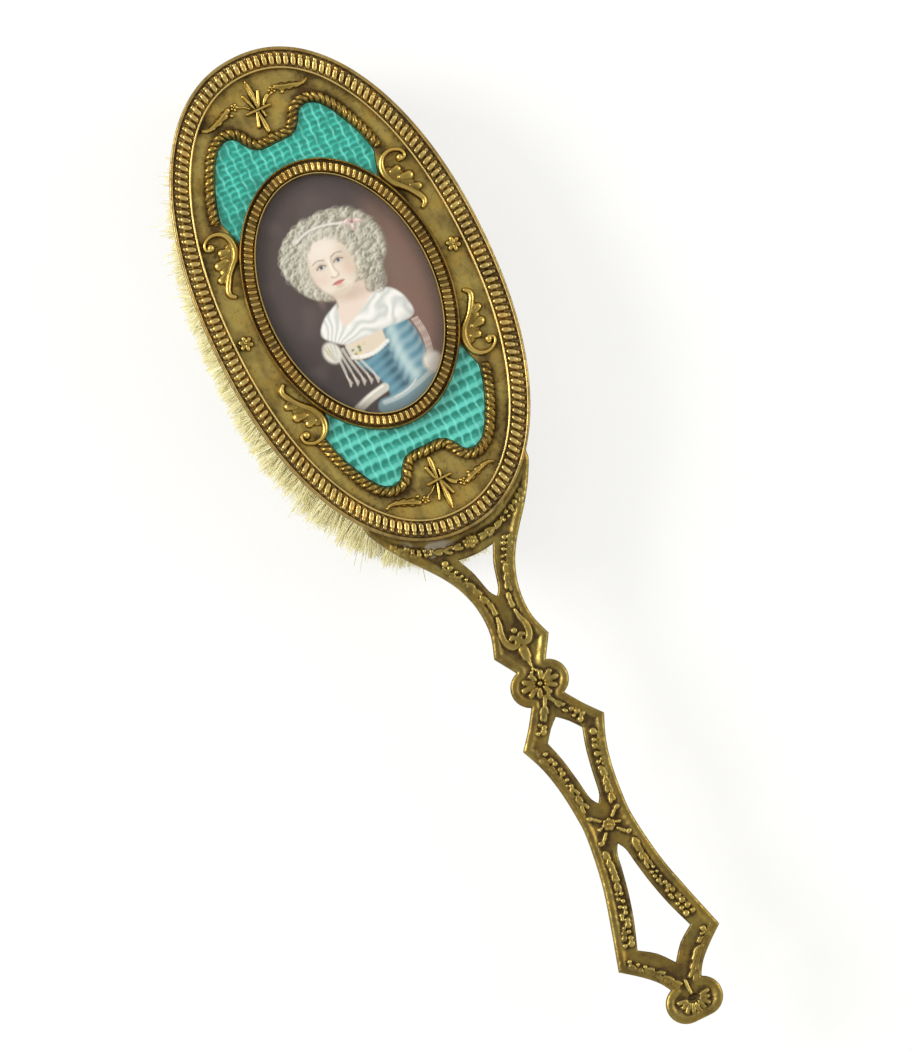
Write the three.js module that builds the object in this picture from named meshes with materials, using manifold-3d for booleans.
// Vanity hairbrush: an oval gilt-brass back with enamel windows and a framed
// miniature, a two-layer wooden block with drawn bristle tufts, and a cast
// openwork handle whose yoke is screwed under the back plate.
//
// Millimetres, +Z up. The brush lies on its bristle tips: the tips are at z = 0,
// the decorated back faces +Z and the handle points to -Y. Outlines are written
// from the middle of the oval head; the whole group is then centred in Y.
import * as THREE from "three";
import { mergeVertices } from "three/addons/utils/BufferGeometryUtils.js";
import Module from "manifold-3d";

const wasm = await Module();
wasm.setup();

// ---- driving dimensions ----------------------------------------------------
const HEAD_HALF_WIDTH = 33.2;
const HEAD_HALF_LENGTH = 59.4;
const HEAD_SQUARENESS = 2.15; // exponent of the oval; 2 would be an ellipse
const HANDLE_REACH = 180.6; // from the middle of the head to the handle's end

const BRISTLE_LENGTH = 18; // below the drilled board
const BOARD_THICKNESS = 5;
const WIRE_SIZE = 0.6;
const GLUE_GAP = 0.3; // left between stacked and neighbouring pieces
const COVER_THICKNESS = 2.8;
const PLATE_THICKNESS = 1.2;

const BOARD_BOTTOM = BRISTLE_LENGTH;
const BOARD_TOP = BOARD_BOTTOM + BOARD_THICKNESS;
const WIRE_BOTTOM = BOARD_TOP + GLUE_GAP;
const COVER_BOTTOM = WIRE_BOTTOM + WIRE_SIZE + GLUE_GAP;
const PLATE_BOTTOM = COVER_BOTTOM + COVER_THICKNESS;
const PLATE_TOP = PLATE_BOTTOM + PLATE_THICKNESS;

const BAND_INSET = 1; // the side band stands this far inside the head's edge
const BAND_WALL = 0.6;
const BAND_BOTTOM = BOARD_BOTTOM + 1;
const BLOCK_INSET = BAND_INSET + BAND_WALL + 0.2;

const BORDER_WIDTH = 4.7;
const BORDER_HEIGHT = 1.4;
const BEZEL_HALF_WIDTH = 22.7;
const BEZEL_HALF_LENGTH = 32.3;
const BEZEL_WIDTH = 3.8;
const BEZEL_HEIGHT = 2.2;
const BEZEL_LIP = 0.8; // how far the bezel's inner lip covers the glass
const GLASS_EDGE = 1.2;
const GLASS_DOME = 0.6;

const ROPE_RADIUS = 1.15;
const ROPE_TO_WINDOW = 1.25; // from the rope's middle line to the window's edge
const WINDOW_UNDER_BEZEL = 1; // the window runs on this far under the bezel
const WINDOW_CORNER_Y = 19.5;
const TRIM_HEIGHT = 1.1;

const ROW_PITCH = 7;
const TUFT_PITCH = 6.5;
const ROWS_EACH_SIDE = 7;
const TUFT_MARGIN = 5.7; // from the head's edge to the outermost tuft
const TUFT_ROOT_RADIUS = 1.3;
const TUFT_TIP_RADIUS = 2.3;
const TUFT_HOLE_RADIUS = 1.5;
const SPLAY_ACROSS = 0.27; // a tip leans outwards by this share of its root's place
const SPLAY_ALONG = 0.22;
const TUFT_SIDES = 6;

const HANDLE_THICKNESS = 3.4;
const TONGUE_THICKNESS = 1.4;
const TONGUE_HALF_WIDTH = 11;
const TONGUE_END = -50.5;
const SCREW_X = 6.5;
const SCREW_Y = -53.4;
const SCREW_RADIUS = 1;
const SCREW_HEAD_RADIUS = 1.9;
const SCREW_HEAD_THICKNESS = 0.75;
const SCREW_LENGTH = 7;

const PIN_HEIGHT = BOARD_BOTTOM + 3;
const PIN_RADIUS = 0.45;
const PIN_HEAD_RADIUS = 0.9;
const PIN_DEPTH = 2.4;

const OVAL_SEGMENTS = 72;

// ---- materials ---------------------------------------------------------------
const metal = (color, roughness) =>
  new THREE.MeshStandardMaterial({ color, roughness, metalness: 1 });
const plain = (color, roughness) =>
  new THREE.MeshStandardMaterial({ color, roughness, metalness: 0 });

const materials = {
  agedBrass: metal(0x8f7637, 0.42),
  giltBrass: metal(0xb08a3a, 0.35),
  handleBrass: metal(0x85702f, 0.42),
  bandBrass: metal(0x776640, 0.5),
  steel: metal(0x8c8c8a, 0.4),
  enamel: plain(0x2aa38c, 0.15),
  glass: plain(0xe8eeee, 0.03),
  painting: plain(0x5d4a47, 0.5),
  card: plain(0xcbb98f, 0.9),
  wood: plain(0x5a3a22, 0.55),
  bristle: plain(0xd9cf9d, 0.6),
};

// ---- small helpers -------------------------------------------------------------
const point = (x, y) => new THREE.Vector2(x, y);
const points = (pairs) => pairs.map(([x, y]) => point(x, y));
const mirrorX = (list) => list.map((p) => point(-p.x, p.y)).reverse();
const signedPower = (value, power) => Math.sign(value) * Math.abs(value) ** power;

// A point of the oval with these half axes, at angle t from +X.
function ovalPoint(halfX, halfY, t, squareness = 2) {
  return point(
    halfX * signedPower(Math.cos(t), 2 / squareness),
    halfY * signedPower(Math.sin(t), 2 / squareness),
  );
}

function ovalPoints(halfX, halfY, squareness = 2, count = OVAL_SEGMENTS) {
  const step = (2 * Math.PI) / count;
  return Array.from({ length: count }, (_, i) => ovalPoint(halfX, halfY, i * step, squareness));
}

// The head's outline, moved inwards by inset.
const headPoints = (inset) =>
  ovalPoints(HEAD_HALF_WIDTH - inset, HEAD_HALF_LENGTH - inset, HEAD_SQUARENESS);

// A smooth line through a few points, and an arc about a centre.
const smooth = (pairs, steps) => new THREE.SplineCurve(points(pairs)).getPoints(steps);
function arc(centreX, centreY, radius, from, to, steps) {
  return Array.from({ length: steps + 1 }, (_, i) => {
    const t = from + ((to - from) * i) / steps;
    return point(centreX + radius * Math.cos(t), centreY + radius * Math.sin(t));
  });
}

const polygon = (x, y, radius, sides) =>
  arc(x, y, radius, Math.PI / 2, (5 * Math.PI) / 2, sides).slice(0, sides);

// Drops points that repeat the one before them.
function withoutRepeats(list) {
  return list.filter((p, i) => p.distanceTo(list[(i + list.length - 1) % list.length]) > 1e-3);
}

// The line moved sideways by distance, to the left of its direction.
function offsetLine(line, distance) {
  return line.map((p, i) => {
    const before = line[Math.max(i - 1, 0)];
    const after = line[Math.min(i + 1, line.length - 1)];
    const along = after.clone().sub(before).normalize();
    return point(p.x - along.y * distance, p.y + along.x * distance);
  });
}

// A closed counter-clockwise outline moved inwards, with mitred corners.
function insetOutline(outline, distance) {
  const count = outline.length;
  const normals = outline.map((p, i) => {
    const along = outline[(i + 1) % count].clone().sub(p).normalize();
    return point(-along.y, along.x);
  });
  return outline.map((p, i) => {
    const before = normals[(i + count - 1) % count];
    const scale = distance / (1 + before.dot(normals[i]));
    return p.clone().addScaledVector(before.clone().add(normals[i]), scale);
  });
}

function extrude(outline, bottom, thickness, holes = []) {
  const clean = withoutRepeats(outline);
  if (THREE.ShapeUtils.isClockWise(clean)) clean.reverse();
  const shape = new THREE.Shape(clean);
  holes.forEach((hole) => shape.holes.push(new THREE.Path(withoutRepeats(hole))));
  const geometry = new THREE.ExtrudeGeometry(shape, {
    depth: thickness,
    bevelEnabled: false,
    curveSegments: 12,
  });
  return geometry.translate(0, 0, bottom);
}

function toSolid(geometry) {
  const bare = geometry.index ? geometry.toNonIndexed() : geometry.clone();
  bare.deleteAttribute("normal");
  bare.deleteAttribute("uv");
  const merged = mergeVertices(bare, 1e-4);
  return new wasm.Manifold(
    new wasm.Mesh({
      numProp: 3,
      vertProperties: merged.attributes.position.array,
      triVerts: new Uint32Array(merged.index.array),
    }),
  );
}

function toGeometry(solid) {
  const mesh = solid.getMesh();
  return new THREE.BufferGeometry()
    .setAttribute("position", new THREE.BufferAttribute(new Float32Array(mesh.vertProperties), 3))
    .setIndex(new THREE.BufferAttribute(new Uint32Array(mesh.triVerts), 1));
}

const join = (geometries) =>
  toGeometry(geometries.map(toSolid).reduce((whole, next) => whole.add(next)));
const cut = (geometry, tools) =>
  toGeometry(tools.map(toSolid).reduce((left, tool) => left.subtract(tool), toSolid(geometry)));

// Turns a closed profile of [inset, height] pairs into a moulding round an oval.
function ovalRing(halfX, halfY, squareness, profile, segments = OVAL_SEGMENTS) {
  const section = profile.map(([inset, height]) => point(halfX - inset, height));
  section.push(section[0].clone());
  const geometry = new THREE.LatheGeometry(section, segments).rotateX(Math.PI / 2);
  const place = geometry.attributes.position;
  for (let i = 0; i < place.count; i++) {
    const radius = Math.hypot(place.getX(i), place.getY(i));
    const t = Math.atan2(place.getY(i), place.getX(i));
    const p = ovalPoint(radius, radius + halfY - halfX, t, squareness);
    place.setXY(i, p.x, p.y);
  }
  return geometry;
}

// Turns a profile of [radius share, height] pairs, from axis to axis, into an oval disc.
function ovalDisc(halfX, halfY, profile, segments = 60) {
  const section = profile.map(([share, height]) => point(share * halfX, height));
  return new THREE.LatheGeometry(section, segments)
    .rotateX(Math.PI / 2)
    .scale(1, halfY / halfX, 1);
}

const cylinder = (x, y, bottom, radius, height, sides = 16) =>
  new THREE.CylinderGeometry(radius, radius, height, sides)
    .rotateX(Math.PI / 2)
    .translate(x, y, bottom + height / 2);

const block = (x0, x1, y0, y1, z0, z1) =>
  new THREE.BoxGeometry(x1 - x0, y1 - y0, z1 - z0).translate(
    (x0 + x1) / 2,
    (y0 + y1) / 2,
    (z0 + z1) / 2,
  );

// A raised stroke along a line, with a half width at each end and in the middle.
function stroke(pairs, halfStart, halfMiddle, halfEnd, bottom, height, steps = 12) {
  const line = smooth(pairs, steps);
  const widths = line.map((_, i) => {
    const t = i / (line.length - 1);
    const ends = (1 - t) * halfStart + t * halfEnd;
    return ends + (halfMiddle - (halfStart + halfEnd) / 2) * 4 * t * (1 - t);
  });
  const side = (sign) =>
    line.map((p, i) => {
      const before = line[Math.max(i - 1, 0)];
      const after = line[Math.min(i + 1, line.length - 1)];
      const along = after.clone().sub(before).normalize();
      return point(p.x - sign * along.y * widths[i], p.y + sign * along.x * widths[i]);
    });
  return extrude([...side(-1), ...side(1).reverse()], bottom, height);
}

// ---- the enamel windows and their rope moulding ---------------------------------
// Right half of the upper rope's middle line, from the scroll up to the centre.
const ROPE_HALF = [
  [20.4, 26.9],
  [20.1, 28.9],
  [18.9, 33.0],
  [16.6, 38.2],
  [14.6, 41.6],
  [12.4, 43.7],
  [9.6, 44.5],
  [7.0, 43.4],
  [5.6, 41.2],
  [4.1, 39.5],
  [1.9, 39.2],
  [0, 39.3],
];
const ROPE_STEPS = 40;

function ropeLine() {
  const left = ROPE_HALF.slice(0, -1).map(([x, y]) => [-x, y]);
  return smooth([...ROPE_HALF, ...left.reverse()], ROPE_STEPS);
}

// The window under the rope: the rope's line moved inwards, closed along the bezel.
function windowOutline() {
  const top = offsetLine(ropeLine(), ROPE_TO_WINDOW);
  const halfX = BEZEL_HALF_WIDTH - WINDOW_UNDER_BEZEL;
  const halfY = BEZEL_HALF_LENGTH - WINDOW_UNDER_BEZEL;
  const start = Math.asin(WINDOW_CORNER_Y / halfY);
  const steps = 20;
  const bottom = Array.from({ length: steps + 1 }, (_, i) =>
    ovalPoint(halfX, halfY, Math.PI - start + ((2 * start - Math.PI) * i) / steps),
  );
  return withoutRepeats([...top, ...bottom]);
}

const mirrorY = (list) => list.map((p) => point(p.x, -p.y)).reverse();

function ropeMoulding() {
  const line = ropeLine();
  const outline = [...offsetLine(line, -ROPE_RADIUS), ...offsetLine(line, ROPE_RADIUS).reverse()];
  return extrude(outline, PLATE_TOP, 2 * ROPE_RADIUS * 0.7);
}

function enamelPanel() {
  const thickness = PLATE_TOP - 0.25 - PLATE_BOTTOM;
  return extrude(insetOutline(windowOutline(), GLUE_GAP / 2), PLATE_BOTTOM, thickness);
}

// ---- metalwork of the back ---------------------------------------------------------
const MINIATURE_HALF_WIDTH = BEZEL_HALF_WIDTH - BEZEL_WIDTH + BEZEL_LIP;
const MINIATURE_HALF_LENGTH = BEZEL_HALF_LENGTH - BEZEL_WIDTH + BEZEL_LIP;

function backPlate() {
  const opening = ovalPoints(MINIATURE_HALF_WIDTH, MINIATURE_HALF_LENGTH, 2, 60);
  return extrude(headPoints(0), PLATE_BOTTOM, PLATE_THICKNESS, [
    opening,
    windowOutline(),
    mirrorY(windowOutline()),
  ]);
}

function outerBorder() {
  const top = PLATE_TOP + BORDER_HEIGHT;
  return ovalRing(HEAD_HALF_WIDTH, HEAD_HALF_LENGTH, HEAD_SQUARENESS, [
    [0, PLATE_TOP],
    [0, PLATE_TOP + 0.6],
    [1.2, top - 0.2],
    [2.5, top],
    [3.9, top - 0.4],
    [BORDER_WIDTH, PLATE_TOP + 0.5],
    [BORDER_WIDTH, PLATE_TOP],
  ]);
}

function miniatureBezel() {
  const top = PLATE_TOP + BEZEL_HEIGHT;
  const rebate = BEZEL_WIDTH - BEZEL_LIP;
  return ovalRing(
    BEZEL_HALF_WIDTH,
    BEZEL_HALF_LENGTH,
    2,
    [
      [0, PLATE_TOP],
      [0, top - 0.6],
      [0.8, top - 0.2],
      [1.9, top],
      [3, top - 0.2],
      [BEZEL_WIDTH, top - 0.6],
      [BEZEL_WIDTH, PLATE_TOP + GLASS_EDGE],
      [rebate, PLATE_TOP + GLASS_EDGE],
      [rebate, PLATE_TOP],
    ],
    60,
  );
}

function sideBand() {
  const band = ovalRing(
    HEAD_HALF_WIDTH - BAND_INSET,
    HEAD_HALF_LENGTH - BAND_INSET,
    HEAD_SQUARENESS,
    [
      [0, BAND_BOTTOM],
      [0, PLATE_BOTTOM],
      [BAND_WALL, PLATE_BOTTOM],
      [BAND_WALL, BAND_BOTTOM],
    ],
  );
  return cut(band, [tongueSpace(), ...pinPlaces().map((place) => pinHole(place))]);
}

// ---- ornaments of the back, all on the plate's face ---------------------------------
function acanthusScroll() {
  const rest = PLATE_TOP;
  const curl = [
    [23.2, 22.4],
    [24.1, 23.2],
    [23.6, 24.7],
    [22.2, 25.3],
    [20.4, 24.8],
    [18.9, 23.2],
    [18.8, 20.9],
    [19.8, 18.7],
    [21.5, 16.5],
    [22.9, 14.7],
    [23.6, 12.7],
    [23.2, 10.8],
  ];
  return join([
    stroke(curl, 0.75, 0.75, 0.35, rest, TRIM_HEIGHT, 22),
    cylinder(23.1, 22.7, rest, 1.05, TRIM_HEIGHT, 10),
    stroke([[20.4, 19.9], [22.2, 21.2]], 1.2, 1.1, 0.7, rest, TRIM_HEIGHT, 3),
    stroke([[20.6, 18.2], [23.8, 18.8]], 1.3, 1.3, 0.9, rest, TRIM_HEIGHT, 3),
    stroke([[22.2, 15.6], [24.6, 14.9]], 1.1, 1.0, 0.7, rest, TRIM_HEIGHT, 3),
  ]);
}

function trophy() {
  const rest = PLATE_TOP;
  const mirrored = (pairs) => pairs.map(([x, y]) => [-x, y]);
  const both = (pairs, ...sizes) => [
    stroke(pairs, ...sizes, rest, TRIM_HEIGHT, 4),
    stroke(mirrored(pairs), ...sizes, rest, TRIM_HEIGHT, 4),
  ];
  return join([
    stroke([[0, 46], [0, 50], [0, 53.4]], 0.45, 0.95, 0.15, rest, TRIM_HEIGHT, 6),
    stroke([[0, 46.6], [0, 44], [0, 41.2]], 0.5, 0.75, 0.5, rest, TRIM_HEIGHT, 4),
    stroke([[-2.7, 46.3], [2.7, 46.3]], 0.4, 0.4, 0.4, rest, TRIM_HEIGHT, 2),
    ...both([[0.4, 46.3], [1.1, 48.4], [1.9, 50.6]], 0.35, 0.5, 0.3),
    ...both([[0.2, 46.3], [0.9, 44.6], [1.4, 43]], 0.35, 0.4, 0.3),
    ...both([[1.2, 46.4], [2.6, 48.2], [4.4, 48.8], [6.6, 48.6]], 0.3, 0.5, 0.5),
    ...both([[6.2, 48.8], [9.4, 48.9], [13.3, 47.2]], 0.7, 0.9, 0.15),
  ]);
}

function rosette() {
  const petals = 6;
  const steps = petals * 4;
  const outline = Array.from({ length: steps }, (_, i) => {
    const t = (2 * Math.PI * i) / steps;
    const radius = 1.5 + 0.35 * Math.cos(petals * t);
    return point(radius * Math.cos(t), radius * Math.sin(t));
  });
  return extrude(outline, 0, TRIM_HEIGHT * 0.8);
}

// ---- the wooden block and its tufts ---------------------------------------------------
// Where the tufts of a row stand, from the middle of the head.
function tuftPlaces(row) {
  const y = row * ROW_PITCH;
  const halfX = HEAD_HALF_WIDTH - TUFT_MARGIN;
  const halfY = HEAD_HALF_LENGTH - TUFT_MARGIN;
  const share = 1 - Math.abs(y / halfY) ** HEAD_SQUARENESS;
  const reach = halfX * share ** (1 / HEAD_SQUARENESS);
  const first = row % 2 === 0 ? 0 : 0.5;
  const places = [];
  for (let i = -Math.floor(reach / TUFT_PITCH - first) - 2 * first; i <= reach; i++) {
    const x = (i + first) * TUFT_PITCH;
    if (Math.abs(x) <= reach) places.push(point(x, y));
  }
  return places;
}

const rows = Array.from({ length: 2 * ROWS_EACH_SIDE + 1 }, (_, i) => i - ROWS_EACH_SIDE);

// A tuft stands upright in its hole, then leans outwards and spreads to its tip.
function tuft({ x, y }) {
  const levels = [
    { x: x * (1 + SPLAY_ACROSS), y: y * (1 + SPLAY_ALONG), z: 0, radius: TUFT_TIP_RADIUS },
    { x, y, z: BOARD_BOTTOM - 0.4, radius: TUFT_ROOT_RADIUS },
    { x, y, z: WIRE_BOTTOM + WIRE_SIZE / 2, radius: TUFT_ROOT_RADIUS },
  ];
  const geometry = new THREE.CylinderGeometry(1, 1, 2, TUFT_SIDES, 2).rotateX(Math.PI / 2);
  const place = geometry.attributes.position;
  for (let i = 0; i < place.count; i++) {
    const level = levels[Math.round(place.getZ(i) + 1)];
    const across = level.x + level.radius * place.getX(i);
    const along = level.y + level.radius * place.getY(i);
    place.setXYZ(i, across, along, level.z);
  }
  return geometry;
}

function tuftRow(row) {
  const places = tuftPlaces(row);
  const reach = Math.max(...places.map((p) => p.x)) + TUFT_ROOT_RADIUS / 2;
  const half = WIRE_SIZE / 2;
  const y = row * ROW_PITCH;
  const wire = block(-reach, reach, y - half, y + half, WIRE_BOTTOM, WIRE_BOTTOM + WIRE_SIZE);
  return join([wire, ...places.map(tuft)]);
}

function bristleBoard() {
  const holes = rows.flatMap((row) =>
    tuftPlaces(row).map((p) => polygon(p.x, p.y, TUFT_HOLE_RADIUS, TUFT_SIDES)),
  );
  const screwHoles = [-SCREW_X, SCREW_X].map((x) =>
    polygon(x, SCREW_Y, SCREW_RADIUS + 0.2, 12),
  );
  const board = extrude(headPoints(BLOCK_INSET), BOARD_BOTTOM, BOARD_THICKNESS, [
    ...holes,
    ...screwHoles,
  ]);
  return cut(board, pinPlaces().map((place) => pinHole(place)));
}

function coverBoard() {
  const board = extrude(headPoints(BLOCK_INSET), COVER_BOTTOM, COVER_THICKNESS);
  const screwHoles = [-SCREW_X, SCREW_X].map((x) =>
    cylinder(x, SCREW_Y, COVER_BOTTOM - 1, SCREW_RADIUS + 0.2, 5, 12),
  );
  return cut(board, [tongueSpace(), ...screwHoles]);
}

// Room for the handle's tongue, cut into the cover board and the side band.
function tongueSpace() {
  const half = TONGUE_HALF_WIDTH + GLUE_GAP;
  const bottom = PLATE_BOTTOM - TONGUE_THICKNESS - GLUE_GAP;
  return block(-half, half, -HEAD_HALF_LENGTH - 5, TONGUE_END + GLUE_GAP, bottom, PLATE_TOP);
}

// ---- fasteners --------------------------------------------------------------------------
// Band pins stand in the band's wall, square to it: the angle is their place on the oval.
const PIN_ANGLES = [0, 50, 130, 180, 230, 310].map((degrees) => (degrees * Math.PI) / 180);

function pinPlaces() {
  return PIN_ANGLES.map((t) => {
    const halfX = HEAD_HALF_WIDTH - BAND_INSET;
    const halfY = HEAD_HALF_LENGTH - BAND_INSET;
    const on = ovalPoint(halfX, halfY, t, HEAD_SQUARENESS);
    const near = ovalPoint(halfX, halfY, t + 0.01, HEAD_SQUARENESS);
    const along = near.clone().sub(on);
    return { x: on.x, y: on.y, facing: Math.atan2(-along.x, along.y) };
  });
}

const placePin = (geometry, { x, y, facing }) =>
  geometry.rotateZ(facing).translate(x, y, PIN_HEIGHT);

// Room for a pin: a square hole along the pin's axis.
const pinHole = (place) =>
  placePin(new THREE.BoxGeometry(2 * PIN_DEPTH + 0.6, 1.3, 1.3), place);

function bandPin(place) {
  const proud = 0.35;
  const profile = points([
    [0, -PIN_DEPTH],
    [PIN_RADIUS, -PIN_DEPTH + 0.6],
    [PIN_RADIUS, 0.12],
    [PIN_HEAD_RADIUS, 0.12],
    [PIN_HEAD_RADIUS * 0.8, 0.12 + proud * 0.7],
    [0, 0.12 + proud],
  ]);
  const geometry = new THREE.LatheGeometry(profile, 10).rotateZ(-Math.PI / 2);
  return placePin(geometry, place);
}

function handleScrew(x) {
  const top = PLATE_BOTTOM;
  const headBottom = top - SCREW_HEAD_THICKNESS;
  const profile = points([
    [0, top - SCREW_LENGTH],
    [SCREW_RADIUS, top - SCREW_LENGTH + 1.2],
    [SCREW_RADIUS, headBottom],
    [SCREW_HEAD_RADIUS, headBottom],
    [SCREW_HEAD_RADIUS, top],
    [0, top],
  ]);
  const body = new THREE.LatheGeometry(profile, 16).rotateX(Math.PI / 2).translate(x, SCREW_Y, 0);
  const slot = block(x - 3, x + 3, SCREW_Y - 0.25, SCREW_Y + 0.25, top - 0.35, top + 1);
  return cut(body, [slot]);
}

// ---- the cast handle ----------------------------------------------------------------------
// Right half of the outline, from the yoke's tip down to the handle's end.
function handleHalf() {
  const knopX = 2.3;
  const knopY = -97.3;
  const lobe = 4.5;
  const endX = 2.1;
  const endY = lobe - HANDLE_REACH;
  return [
    ...smooth(
      [
        [20.2, -49.4],
        [19.8, -51.2],
        [17.2, -55.9],
        [14.3, -60.0],
        [11.4, -63.6],
        [8.8, -67.2],
        [6.6, -71.4],
        [5.2, -76.5],
        [5.1, -82.5],
        [6.8, -88.0],
      ],
      30,
    ),
    ...arc(knopX, knopY, lobe, 1.27, -1.16, 12),
    ...smooth([[4.1, -101.5], [6.9, -105.6], [10.1, -109.5]], 4),
    ...smooth(
      [
        [10.1, -109.5],
        [7.9, -114.9],
        [6.5, -121.0],
        [5.8, -127.5],
        [5.7, -133.0],
        [7.0, -142.8],
        [8.9, -150.7],
        [12.5, -163.2],
      ],
      26,
    ),
    ...smooth([[12.5, -163.2], [8.4, -166.4], [5.4, -169.3], [3.7, -172.0]], 8),
    ...arc(endX, endY, lobe, 1.15, -Math.PI / 2, 14),
  ];
}

// The yoke's inner edge: it lies against the side band, tip to tip.
function yokeInnerEdge() {
  const clear = BAND_INSET - GLUE_GAP;
  const halfX = HEAD_HALF_WIDTH - clear;
  const halfY = HEAD_HALF_LENGTH - clear;
  const tip = 0.92;
  const steps = 24;
  return Array.from({ length: steps + 1 }, (_, i) =>
    ovalPoint(halfX, halfY, -Math.PI / 2 - tip * 0.72 + (2 * tip * 0.72 * i) / steps, HEAD_SQUARENESS),
  );
}

const NECK_GAP = [[4.4, -64.4], [2.7, -68.1], [1.9, -70.9], [1.1, -73.9], [0, -75.5]];
const UPPER_GAP = [[4.3, -110.3], [3.0, -114.7], [1.95, -120.3], [1.2, -125.2], [0, -127.3]];
const LOWER_GAP = [[0, -137.1], [1.1, -139.2], [1.7, -142.8], [2.8, -148.4], [4.4, -154.4], [6.6, -160.6]];

const symmetric = (half) => [...half, ...mirrorX(half)];

function handle() {
  const bottom = PLATE_BOTTOM - HANDLE_THICKNESS;
  const outline = [...yokeInnerEdge(), ...symmetric(handleHalf())];
  const gaps = [
    symmetric([...smooth([[0, -64.9], [2.2, -64.8], [4.4, -64.4]], 4), ...smooth(NECK_GAP, 12)]),
    symmetric([...smooth([[0, -105.6], [2.3, -107.7], [4.3, -110.3]], 4), ...smooth(UPPER_GAP, 14)]),
    symmetric([...smooth(LOWER_GAP, 18), ...smooth([[6.6, -160.6], [2.9, -163.2], [0, -166.8]], 6)]),
  ];
  const casting = extrude(outline, bottom, HANDLE_THICKNESS, gaps);
  const tongueTop = PLATE_BOTTOM;
  const edge = yokeInnerEdge().filter((p) => Math.abs(p.x) < TONGUE_HALF_WIDTH);
  const tongue = extrude(
    [
      point(TONGUE_HALF_WIDTH, TONGUE_END),
      point(-TONGUE_HALF_WIDTH, TONGUE_END),
      ...edge.map((p) => point(p.x, p.y - 1)),
    ],
    tongueTop - TONGUE_THICKNESS,
    TONGUE_THICKNESS,
  );
  const screwHoles = [-SCREW_X, SCREW_X].flatMap((x) => [
    cylinder(x, SCREW_Y, tongueTop - 4, SCREW_RADIUS + 0.15, 8),
    cylinder(x, SCREW_Y, tongueTop - SCREW_HEAD_THICKNESS - 0.1, SCREW_HEAD_RADIUS + 0.15, 4),
  ]);
  return cut(join([casting, tongue]), screwHoles);
}

// ---- assembly -------------------------------------------------------------------------------
const brush = new THREE.Group();

function add(name, geometry, material) {
  const mesh = new THREE.Mesh(geometry, material);
  mesh.name = name;
  brush.add(mesh);
  return mesh;
}

// A mirrored copy of a geometry, with its faces turned back to point outwards.
function flipped(geometry, x, y) {
  const copy = geometry.clone().scale(x, y, 1);
  if (x * y > 0) return copy;
  const loose = copy.index ? copy.toNonIndexed() : copy;
  const place = loose.attributes.position;
  for (let i = 0; i < place.count; i += 3) {
    const second = [place.getX(i + 1), place.getY(i + 1), place.getZ(i + 1)];
    place.setXYZ(i + 1, place.getX(i + 2), place.getY(i + 2), place.getZ(i + 2));
    place.setXYZ(i + 2, ...second);
  }
  return loose;
}

add("back_plate", backPlate(), materials.agedBrass);
add("outer_border", outerBorder(), materials.agedBrass);
add("miniature_bezel", miniatureBezel(), materials.agedBrass);
add("side_band", sideBand(), materials.bandBrass);
add("handle", handle(), materials.handleBrass);

[["upper", 1], ["lower", -1]].forEach(([place, side]) => {
  add(`rope_moulding_${place}`, flipped(ropeMoulding(), 1, side), materials.giltBrass);
  add(`enamel_panel_${place}`, flipped(enamelPanel(), 1, side), materials.enamel);
  add(`trophy_${place}`, flipped(trophy(), 1, side), materials.giltBrass);
  add(`scroll_${place}_right`, flipped(acanthusScroll(), 1, side), materials.giltBrass);
  add(`scroll_${place}_left`, flipped(acanthusScroll(), -1, side), materials.giltBrass);
});

[["left", -25.9], ["right", 25.9]].forEach(([place, x]) => {
  add(`rosette_${place}`, rosette(), materials.giltBrass).position.set(x, 0, PLATE_TOP);
});

const fitted = 0.3; // play round the miniature in its opening
const miniature = (profile) =>
  ovalDisc(MINIATURE_HALF_WIDTH - fitted, MINIATURE_HALF_LENGTH - fitted, profile);
const CARD_TOP = PLATE_BOTTOM + 0.6;
const PAINTING_TOP = CARD_TOP + 0.5;
const flatDisc = (bottom, top) => [[0, bottom], [1, bottom], [1, top], [0, top]];
const GLASS_TOP = PLATE_TOP + GLASS_EDGE - 0.1;

add("miniature_backing_card", miniature(flatDisc(PLATE_BOTTOM, CARD_TOP)), materials.card);
add("miniature_painting", miniature(flatDisc(CARD_TOP, PAINTING_TOP)), materials.painting);
add(
  "miniature_glass",
  miniature([
    [0, PAINTING_TOP],
    [1, PAINTING_TOP],
    [1, GLASS_TOP],
    [0.94, GLASS_TOP],
    [0.75, GLASS_TOP + GLASS_DOME * 0.45],
    [0.45, GLASS_TOP + GLASS_DOME * 0.85],
    [0, GLASS_TOP + GLASS_DOME],
  ]),
  materials.glass,
);

add("cover_board", coverBoard(), materials.wood);
add("bristle_board", bristleBoard(), materials.wood);
rows.forEach((row, i) => {
  add(`bristle_row_${String(i + 1).padStart(2, "0")}`, tuftRow(row), materials.bristle);
});

add("handle_screw_left", handleScrew(-SCREW_X), materials.steel);
add("handle_screw_right", handleScrew(SCREW_X), materials.steel);
pinPlaces().forEach((place, i) => add(`band_pin_${i + 1}`, bandPin(place), materials.giltBrass));

// The origin is under the middle of the part, in the plane of the bristle tips.
const box = new THREE.Box3().setFromObject(brush);
brush.position.y = -(box.min.y + box.max.y) / 2;

export default brush;
